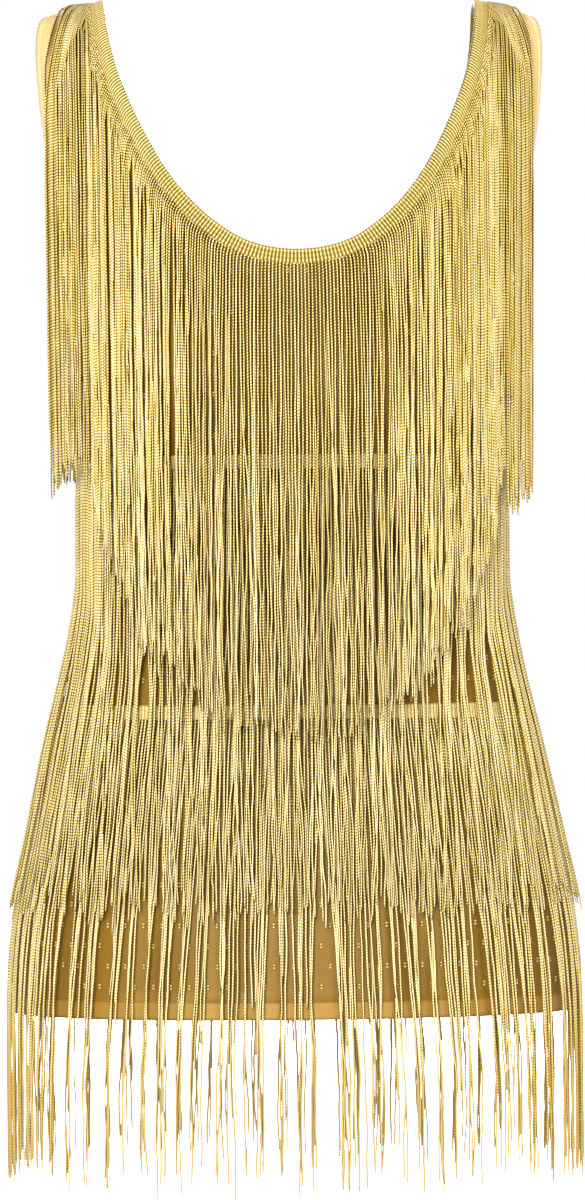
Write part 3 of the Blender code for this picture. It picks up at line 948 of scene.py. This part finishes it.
def beside_armhole(points):
    """How far round the form, in degrees, each point is from the armhole's edge at its height."""
    rows = np.array(ARMHOLE)[::-1]
    edge = np.interp(points[..., 2], rows[:, 0], rows[:, 1])
    return edge - angle_at(points[..., 0], points[..., 2])


def on_cloth(points):
    """Whether there is cloth behind each point, or its edge, and not an armhole."""
    return (points[..., 2] < UNDERARM) | (beside_armhole(points) > -EDGE_DEGREES)


def hang(start, leave, run, clearance, fan, length, reach):
    """The lines that strands take: each leaves its braid, slides down the form and hangs from it.

    reach is how far out a strand may slide over the shoulder before it drops.
    """
    step = length[:, None] / HANG_STEPS
    here = start.copy()
    line = [here.copy()]
    for i in range(HANG_STEPS):
        gone = step * i
        away, rate = outward(here)
        drift = np.where(gone < FAN_DROP, fan[:, None] / FAN_DROP, 0)
        held = on_cloth(here)[:, None]
        kept = held * SET_OFF_STRENGTH * np.exp(-((gone / run[:, None]) ** 2))
        move = leave * kept + (0, 0, -1) + level_beside(away) * drift
        near = level(here) / rate < clearance(here[:, 2], gone[:, 0]) + NEAR_CLOTH
        into = np.clip(np.sum(move * away, axis=1), None, 0) * near
        move = move - away * held * into[:, None]
        here = here + unit(move) * step
        limit = reach * (1 - DRAW_IN * i / HANG_STEPS)
        here[:, 0] = np.clip(here[:, 0], -limit, limit)
        for _ in range(2):
            away, rate = outward(here)
            short = clearance(here[:, 2], gone[:, 0]) - level(here) / rate
            here = here + held * away * np.clip(short, 0, None)[:, None]
        line.append(here.copy())
    return np.array(line).transpose(1, 0, 2)


def sway(rng, at, gone, scale):
    """A sideways drift that neighbouring strands share, so that they gather and part."""
    drift = np.zeros_like(gone)
    for wave, size, full_at in SWAYS:
        phase = rng.uniform(0, 2 * math.pi)
        turn = rng.uniform(-1, 1) * SWAY_TURN
        swing = np.sin(2 * math.pi * at[:, None] / wave + phase + 2 * math.pi * turn * gone)
        drift += scale * size * smooth(0.004, full_at, gone) * swing
    return drift


def wiggle(rng, gone):
    """A small waviness of each strand's own, stronger towards its end."""
    drift = np.zeros_like(gone)
    count = len(gone)
    for wave, size in WIGGLES:
        phase = rng.uniform(0, 2 * math.pi, count)[:, None]
        own = rng.uniform(0.2, 1.0, count)[:, None] * size
        waves = rng.uniform(0.8, 1.25, count)[:, None] * wave
        drift += own * np.sin(2 * math.pi * gone / waves + phase)
    return drift * (0.35 * smooth(0.01, 0.06, gone) + 0.65 * smooth(0.05, 0.28, gone))


def camera_axes():
    """Where the camera stands, which way it looks and which way is right, seen from above."""
    yaw = math.radians(CAMERA_YAW_DEGREES)
    ahead = np.array([math.sin(yaw), math.cos(yaw)])
    right = np.array([math.cos(yaw), -math.sin(yaw)])
    return -CAMERA_DISTANCE * ahead, ahead, right


def gather(x, y, bunches, rng):
    """How far strands seen at a place go sideways to fall into their bunches."""
    eye, ahead, right = camera_axes()
    spot = np.stack([x, y], axis=1) - eye
    away = spot @ ahead
    seen = (spot @ right) / away * CAMERA_DISTANCE
    edges = (np.array(bunches, float) - CENTRE_PIXEL) * METRES_PER_PIXEL
    middle = edges.mean(axis=1)
    inset = np.minimum(BUNCH_INSET, (edges[:, 1] - edges[:, 0]) / 2)
    gap_to = np.maximum(edges[None, :, 0] - seen[:, None], seen[:, None] - edges[None, :, 1])
    nearest = np.argmin(np.maximum(gap_to, 0), axis=1)
    low = edges[nearest, 0] + inset[nearest]
    high = edges[nearest, 1] - inset[nearest]
    inside = np.clip(seen, low, high)
    pull = rng.uniform(0, MIDDLE_PULL, len(x))
    target = inside + (middle[nearest] - inside) * pull
    share = np.where(rng.uniform(0, 1, len(x)) < LOOSE_SHARE, LOOSE_PULL, 1.0)
    return (target - seen) * away / CAMERA_DISTANCE * share


def fall(tier, path, rng):
    """The sideways move that gathers a tier's strands into bunches, at each point of their paths."""
    if tier == "hip":
        bunches, height = HEM_BUNCHES, HEM_HEIGHT
        profile = smooth(*HEM_GATHERING, path[..., 2])
    elif tier == "chest":
        bunches, height = BAND_BUNCHES, HIP_BRAID_HEIGHT - BRAID_WIDTH / 2
        profile = smooth(*BAND_GATHERING, path[..., 2]) * smooth(*BAND_RELEASE, path[..., 2])
    else:
        return np.zeros(path.shape[:2])
    crossing = np.argmin(np.abs(path[..., 2] - height), axis=1)
    spot = path[np.arange(len(path)), crossing]
    return gather(spot[:, 0], spot[:, 1], bunches, rng)[:, None] * profile


def stations_of(length):
    """Where a strand's rings lie, as shares of its length: close at its root, then evenly."""
    shortest = length.min()
    root = (0.0, 0.0011, 0.0024, 0.0042, 0.0068, 0.0100, 0.0140)
    even = np.linspace(0.0195, shortest - 0.005, 46)
    return np.concatenate([root, even, [shortest - 0.0015]]) / shortest


def strand_places(tier, total):
    """How far along its braid each strand is, and 1 for an upper strand or 0 for one under it."""
    ridges = round(total / tier.pitch)
    upper = (np.arange(ridges) + 0.5) * total / ridges
    count_under = round(ridges * tier.under_share)
    under = (np.arange(count_under) + 0.5) * total / count_under
    at = np.concatenate([upper, under])
    layer = np.concatenate([np.ones(ridges), np.zeros(count_under)])
    lean = slant(tier, at / total * 2 - 1)
    at = np.clip(at - 0.6 * lean * BRAID_WIDTH, 0.0002, total - 0.0002)
    if tier.name == "neck":
        near_seam = np.linspace(0.0004, SHOULDER_REACH, SHOULDER_STRANDS)
        at = np.concatenate([at, near_seam, total - near_seam])
        layer = np.concatenate([layer, np.arange(2 * SHOULDER_STRANDS) % 2])
    return at, layer


def strand_roots(side, tier, at, layer):
    """Where strands leave their braid, which way, and their place along it, from -1 to 1."""
    top, _, across, place = braid_frame(side, tier.name, at)
    low = settle(top + across * (BRAID_WIDTH - 0.0006), side)
    normal = seam_side(low)
    start = low + normal * (ROOT_LIFT + ROOT_LAYER_STEP * layer)[:, None]
    lean = slant(tier, place)
    tangent = unit(np.cross(across, normal))
    tangent = tangent * np.sign(tangent[:, :1] + 1e-9)
    return start, unit(across - tangent * lean[:, None]), place


def strand_lengths(side, tier, at, place, start, rng):
    """How long each strand is: longer at the shoulder seams, and some of the hip tier short."""
    count = len(at)
    length = tier.length + rng.normal(0, LENGTH_SPREAD, count) + LENGTH_WAVE * np.sin(at / 0.011)
    cut = rng.uniform(0, 1, count) < CUT_SHARE
    length = length - CUT_MOST * cut * rng.uniform(0, 1, count)
    if tier.name == "neck":
        length = length + SHOULDER_LENGTHENING * smooth(0.2, 0.6, np.abs(place))
        left_share = smooth(0.885, 0.93, place) if side == FRONT else smooth(0.93, 1.0, place)
        right_share = smooth(0.93, 1.0, -place)
        left, right = SEAM_LENGTHENING[side]
        length = length + left * left_share + right * right_share
    if tier.name == "hip":
        short = (rng.uniform(0, 1, count) < SHORT_SHARE) & (np.abs(place) < 0.70)
        ends_at = SHORTEST_DROP - SHORT_RANGE * rng.uniform(0, 1, count)
        length = np.where(short, start[:, 2] - ends_at, length)
    return length


def strand_reach(tier, at, total, start, rng):
    """How far from the middle each strand may hang: those near the shoulder drop further out."""
    if tier.name != "neck":
        return np.full(len(at), np.inf)
    from_seam = np.minimum(at, total - at)
    outer = np.clip(1 - from_seam / (1.6 * SHOULDER_REACH), 0, 1) ** 0.8
    outermost = np.where(start[:, 0] < 0, *OUTER_DROPS)
    drop = INNER_DROP + (outermost - INNER_DROP) * outer + rng.uniform(-0.0016, 0.0006, len(at))
    near = np.abs(start[:, 0]) + SIDE_STEP * rng.uniform(0.6, 1.6, len(at))
    return np.where(outer > 0, np.maximum(drop, near), near)


def strand_paths(side, tier, rng):
    """The smooth paths of a tier's strands.

    With them come the length gone at each ring, the rings' shares of that length, how far along the
    braid each strand is, and its layer.
    """
    total = measure(braid_edge(side, tier.name))[-1]
    at, layer = strand_places(tier, total)
    start, leave, place = strand_roots(side, tier, at, layer)
    count = len(at)
    run = OUTWARD_RUN * rng.uniform(0.85, 1.15, count)
    spread = math.radians(tier.fan_degrees) * FAN_RADIUS * np.sin(math.pi * np.abs(place))
    fan = spread * np.sign(place) * -side * rng.uniform(0.9, 1.1, count)
    length = strand_lengths(side, tier, at, place, start, rng)
    lift = LAYER_STEP * layer + rng.uniform(0, LAYER_DEPTH, count)

    def clearance(height, gone):
        full = np.interp(height, TABLE_HEIGHTS, CLEARANCE_CURVES[tier.name]) + lift
        root = ROOT_CLEARANCE + ROOT_LAYER_STEP * layer
        return root + (full - root) * np.clip(gone / CLEARANCE_RUN, 0, 1)

    reach = strand_reach(tier, at, total, start, rng)
    line = hang(start, leave, run, clearance, fan, length, reach)
    shares = stations_of(length)
    steps = np.arange(HANG_STEPS + 1) / HANG_STEPS
    slot = np.clip(np.searchsorted(steps, shares) - 1, 0, HANG_STEPS - 1)
    part = (shares - steps[slot]) * HANG_STEPS
    path = line[:, slot] + (line[:, slot + 1] - line[:, slot]) * part[None, :, None]
    return path, shares[None, :] * length[:, None], shares, at, layer


def loosen(tier, path, gone, at, layer, rng):
    """Smooth paths made lifelike: they sway, wiggle, stray and bunch, and stay off the cloth."""
    away, _ = outward(path)
    drift = np.zeros_like(gone)
    for which in (1, 0):
        chosen = layer == which
        drift[chosen] = sway(rng, at[chosen], gone[chosen], tier.bunching)
    drift += wiggle(rng, gone)
    count = len(at)
    stray = (rng.uniform(0, 1, count) < STRAY_SHARE) * rng.normal(0, STRAY_SPREAD, count)
    drift += stray[:, None] * smooth(0.04, 0.30, gone)
    path = path + level_beside(away) * drift[..., None]
    puff = rng.uniform(0, 1, count)[:, None] * PUFF * smooth(0.02, 0.2, gone)
    path = path + away * puff[..., None]
    path[..., 0] += fall(tier.name, path, rng)
    for _ in range(2):
        away, rate = outward(path)
        least = 0.0008 + 0.0004 * layer[:, None]
        short = np.clip(least - level(path) / rate, 0, None) * on_cloth(path)
        path = path + away * short[..., None]
    return path


def strand_rings(tier, path, shares, rng):
    """Three-cornered rings along the paths, with one corner outwards."""
    ahead = unit(np.gradient(path, axis=1))
    away, _ = outward(path)
    away = unit(away - ahead * np.sum(away * ahead, axis=-1, keepdims=True))
    beside = np.cross(ahead, away)
    count = len(path)
    wide = tier.thickness * STRAND_HALF_WIDTH * rng.uniform(0.88, 1.14, count)[:, None, None]
    deep = tier.thickness * STRAND_HALF_DEPTH * rng.uniform(0.9, 1.1, count)[:, None, None]
    taper = 1 - 0.16 * smooth(0.55, 0.92, shares)
    taper[-1] *= 0.65
    taper = taper[None, :, None]
    turns = ((1, -0.5), (0, 1), (-1, -0.5))
    return np.stack([path + taper * (beside * wide * u + away * deep * v) for u, v in turns], axis=2)


def strand_faces(count, stations, corners, stitch):
    """Triangles round and along each strand, with a tip, and the stitch pattern's UV at each corner.

    The first number of the UV is 0.5 on the corner that faces out and whole on the other two. The
    second is how far along the thread the corner is, in metres.
    """
    base = np.arange(count)[:, None, None] * stations * corners
    ring = np.arange(stations - 1)[None, :, None] * corners
    k = np.arange(corners)[None, None, :]
    after = (k + 1) % corners
    below = base + ring + corners
    quads = np.stack([base + ring + k, base + ring + after, below + after, below + k], -1)
    here = k / 2
    following = np.array([0.5, 1.0, 2.0])[None, None, :]
    round_uv = np.stack([here, following, following, here], -1) + np.zeros(quads.shape)
    along = np.repeat(stitch[:, :, None], corners, axis=2)
    along_uv = np.stack([along[:, :-1], along[:, :-1], along[:, 1:], along[:, 1:]], -1)
    quads = quads.reshape(-1, 4)
    uv = np.stack([round_uv.reshape(-1, 4), along_uv.reshape(-1, 4)], -1)
    tips = base[:, 0] + (stations - 1) * corners + np.arange(corners)
    tip_uv = np.stack([np.full((count, corners), 0.5), along[:, -1]], -1)
    faces = np.concatenate([quads[:, (0, 1, 2)], quads[:, (0, 2, 3)], tips])
    return faces, np.concatenate([uv[:, (0, 1, 2)], uv[:, (0, 2, 3)], tip_uv])


def make_strands(name, side, tier, material, rng):
    """All the strands of one tier on one side of the dress."""
    path, gone, shares, at, layer = strand_paths(side, tier, rng)
    path = loosen(tier, path, gone, at, layer, rng)
    rings = strand_rings(tier, path, shares, rng)
    count, stations, corners = rings.shape[:3]
    stitch = gone + rng.uniform(0, 1, count)[:, None]
    faces, uv = strand_faces(count, stations, corners, stitch)
    piece = fill(name, rings.reshape(-1, 3), faces, material)
    give_uv(piece, "strand", uv)
    height = path[..., 2]
    # A random tone per strand, with painted light and shade: lighter upper layer and hip tier, darker
    # towards the shoulders and above the middle.
    tone_and_shading = np.clip(rng.normal(0.48, 0.20, count) + UPPER_LAYER_PAINTED_LIGHT * layer + tier.light, 0, 1)
    tone_and_shading = tone_and_shading[:, None] - TOP_PAINTED_SHADE * smooth(*TOP_PAINTED_SHADE_HEIGHTS, height)
    tone_and_shading = tone_and_shading - MIDDLE_PAINTED_SHADE * smooth(*MIDDLE_PAINTED_SHADE_HEIGHTS, height)
    give(piece, "tone_and_shading", np.repeat(tone_and_shading.ravel(), corners))
    # Where the ends below the hem are tinted and painted darker.
    give(piece, "low_end_tint_and_shade", np.repeat(smooth(*LOW_END_TINT_AND_SHADE_HEIGHTS, height).ravel(), corners))
    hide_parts(name.replace("strands", "fringe"))


def make_binding(name, half, material):
    """The turned edge of one armhole, on the front and the back, folded round the cloth's edge."""
    front = armhole_line(FRONT, 120) * (half, 1, 1)
    back = armhole_line(BACK, 120)[::-1] * (half, 1, 1)
    edge = np.concatenate([front, back[1:]])
    along = measure(edge)
    normal, _ = outward(edge)
    ahead = unit(np.gradient(edge, axis=0))
    inward = unit(np.cross(normal, ahead)) * half
    inside = [(inset, -WALL - 0.0001 - lift) for inset, lift in EDGE_RINGS[::-1]]
    rings = np.array([*EDGE_RINGS, *EDGE_FOLD, *inside])
    points = []
    for inset, lift in rings:
        here = edge + inward * inset
        for _ in range(2):
            away, rate = outward(here)
            here = here - away * (level(here) / rate)[:, None]
        points.append(here + away * lift)
    points = np.stack(points, axis=1)
    faces = grid_faces(len(edge), len(rings), flip=half > 0, closed=True)
    piece = fill(name, points.reshape(-1, 3), faces, material)
    spans = np.stack(np.broadcast_arrays(rings[None, :, 0], along[:, None]), axis=-1)
    give_uv(piece, "binding", spans.reshape(-1, 2)[faces.ravel()])


def make_seam(name, half, material):
    """The allowance of a side seam: a strip of the cloth pressed open inside, behind the seam."""
    heights = np.linspace(HEM_HEIGHT + 0.001, UNDERARM - 0.002, ALLOWANCE_ROWS)
    width = half * form("half_width", heights)
    near, far = ALLOWANCE_DEPTHS
    corners = ((-ALLOWANCE, near), (ALLOWANCE, near), (ALLOWANCE, far), (-ALLOWANCE, far))
    lines = []
    for across, depth in corners:
        here = settle(np.stack([width, np.full_like(width, across), heights], axis=1), FRONT)
        away, _ = outward(here)
        lines.append(here - away * depth)
    points = np.stack(lines, axis=1).reshape(-1, 3)
    faces = grid_faces(ALLOWANCE_ROWS, len(corners), flip=half < 0, closed=True)
    first_end = np.arange(len(corners))
    ends = np.stack([first_end, len(points) - 1 - first_end])
    faces = np.concatenate([faces, ends if half < 0 else ends[:, ::-1]])
    piece = fill(name, points, faces, material)
    give_uv(piece, "cloth", points[faces.ravel(), 1:])


def tack_places(side):
    """A staggered grid of places over a panel, clear of the neck edge and the armholes."""
    places = []
    heights = np.arange(HEM_HEIGHT + 0.022, -0.16, TACK_ROW_STEP / 2)
    for i, height in enumerate(heights):
        row = level_line(side, np.linspace(0, 90, 200), height)
        offset = TACK_COLUMN_STEP * (0.5 if i % 2 else 0.0)
        at = np.arange(offset, measure(row)[-1] - 0.006, TACK_COLUMN_STEP)
        points = read_line(row, at)
        places += [points, points[at > 0.001] * (-1, 1, 1)]
    places = np.concatenate(places)
    neck = neck_line(side)
    neck_height = np.interp(np.abs(places[:, 0]), neck[:, 0], neck[:, 2])
    clear = (beside_armhole(places) > ARMHOLE_EDGE_DEGREES) | (places[:, 2] < UNDERARM - ARMHOLE_EDGE_DROP)
    return places[(places[:, 2] < neck_height - 0.012) & on_cloth(places) & clear]


def make_tacks(name, side, material):
    """Thread tacks over a panel: pairs of small six-sided knots on the cloth."""
    places = tack_places(side)
    away, _ = outward(places)
    places = places - away * (crease_depth(side, places) - 0.0002)[:, None]
    beside = unit(np.cross(np.array([0, 0, 1.0]), away))
    up = np.cross(away, beside)
    places = np.concatenate([places + up * TACK_SPACING / 2, places - up * TACK_SPACING / 2])
    away, beside, up = (np.concatenate([way, way]) for way in (away, beside, up))
    blocks = []
    lights = []
    for share, lift, light in TACK_RINGS:
        for turn in np.radians(np.arange(30, 390, 60)):
            wide = beside * TACK_HALF_LENGTH * math.cos(turn)
            high = up * TACK_HALF_WIDTH * math.sin(turn)
            blocks.append(places + (wide + high) * share + away * lift)
            lights.append(light)
    # The top point gets the full painted highlight.
    blocks.append(places + away * TACK_HEIGHT)
    lights.append(1.0)
    points = np.stack(blocks, axis=1)
    base = np.arange(len(places))[:, None] * len(blocks)
    faces = []
    for k in range(6):
        after = (k + 1) % 6
        for corners in ((k, after, 6 + after), (k, 6 + after, 6 + k), (6 + k, 6 + after, 12)):
            faces.append(base + np.array([corners]))
    piece = fill(name, points.reshape(-1, 3), np.concatenate(faces), material)
    give(piece, "relief_shade", np.tile(lights, len(places)))


def make_floor():
    mesh = bpy.data.meshes.new("studio_floor")
    corners = ((-1, -1), (1, -1), (1, 1), (-1, 1))
    points = [(x * FLOOR_REACH, y * FLOOR_REACH, FLOOR_HEIGHT) for x, y in corners]
    mesh.from_pydata(points, [], [(0, 1, 2, 3)])
    n = Nodes("studio_floor")
    pale = n.ramp(n.noise(2.0, 2.0), ((0.3, (0.93, 0.93, 0.93, 1.0)), (0.7, (0.96, 0.96, 0.96, 1.0))))
    n.shader.inputs["Emission Color"].default_value = (1.0, 1.0, 1.0, 1.0)
    n.shader.inputs["Emission Strength"].default_value = 0.25
    mesh.materials.append(n.finish(pale, 0.9))
    floor = link("studio_floor", mesh)


def add_light(name, place, size, power):
    lamp = bpy.data.lights.new(name, "AREA")
    lamp.shape = "DISK"
    lamp.size = size
    lamp.energy = power
    thing = link(name, lamp)
    thing.location = place
    way = Vector(LIGHT_AIM) - Vector(place)
    thing.rotation_euler = way.to_track_quat("-Z", "Y").to_euler()


def add_camera():
    """The camera looks level at the middle of the dress, a little from the wearer's right."""
    lens = bpy.data.cameras.new("camera")
    lens.sensor_fit = "VERTICAL"
    lens.angle_y = 2 * math.atan(VIEW_HEIGHT / 2 / CAMERA_DISTANCE)
    camera = link("camera", lens)
    eye, _, _ = camera_axes()
    place = Vector((*eye, CAMERA_HEIGHT))
    aim = Vector((0.0, 0.0, CAMERA_HEIGHT))
    turn = (aim - place).to_track_quat("-Z", "Y").to_matrix().to_4x4()
    roll = Matrix.Rotation(math.radians(CAMERA_ROLL_DEGREES), 4, "Z")
    camera.matrix_world = Matrix.Translation(place) @ turn @ roll
    bpy.context.scene.camera = camera


def add_studio():
    world = bpy.data.worlds.new("studio")
    bpy.context.scene.world = world
    world.use_nodes = True
    background = world.node_tree.nodes["Background"]
    background.inputs["Color"].default_value = (1.0, 1.0, 1.0, 1.0)
    background.inputs["Strength"].default_value = 1.0
    add_light("key", (-0.7, -3.3, 0.3), 1.2, 360)
    add_light("fill", (1.6, -2.9, -0.5), 1.6, 140)
    add_light("back_fill", (0.4, 3.0, 0.5), 1.8, 260)
    bpy.context.scene.view_settings.view_transform = "Standard"
    bpy.context.scene.view_settings.look = "None"


def build():
    cloth = cloth_material()
    strand = strand_material()
    braid = braid_material()
    edge = binding_material()
    thread = tack_material()
    for side, word in SIDES:
        make_panel("dress_" + word, side, cloth)
        make_tacks("tacks_" + word, side, thread)
        for tier in TIERS:
            make_braid(tier.name + "_braid_" + word, side, tier, braid)
            rng = np.random.default_rng(SEED + 10 * TIERS.index(tier) + side)
            make_strands(tier.name + "_strands_" + word, side, tier, strand, rng)
    for half, word in HALVES:
        make_binding("armhole_edge_" + word, half, edge)
    for half, word in HALVES:
        make_seam("side_seam_" + word, half, cloth)


build()
make_floor()
add_camera()
add_studio()

bpy.context.view_layer.update()
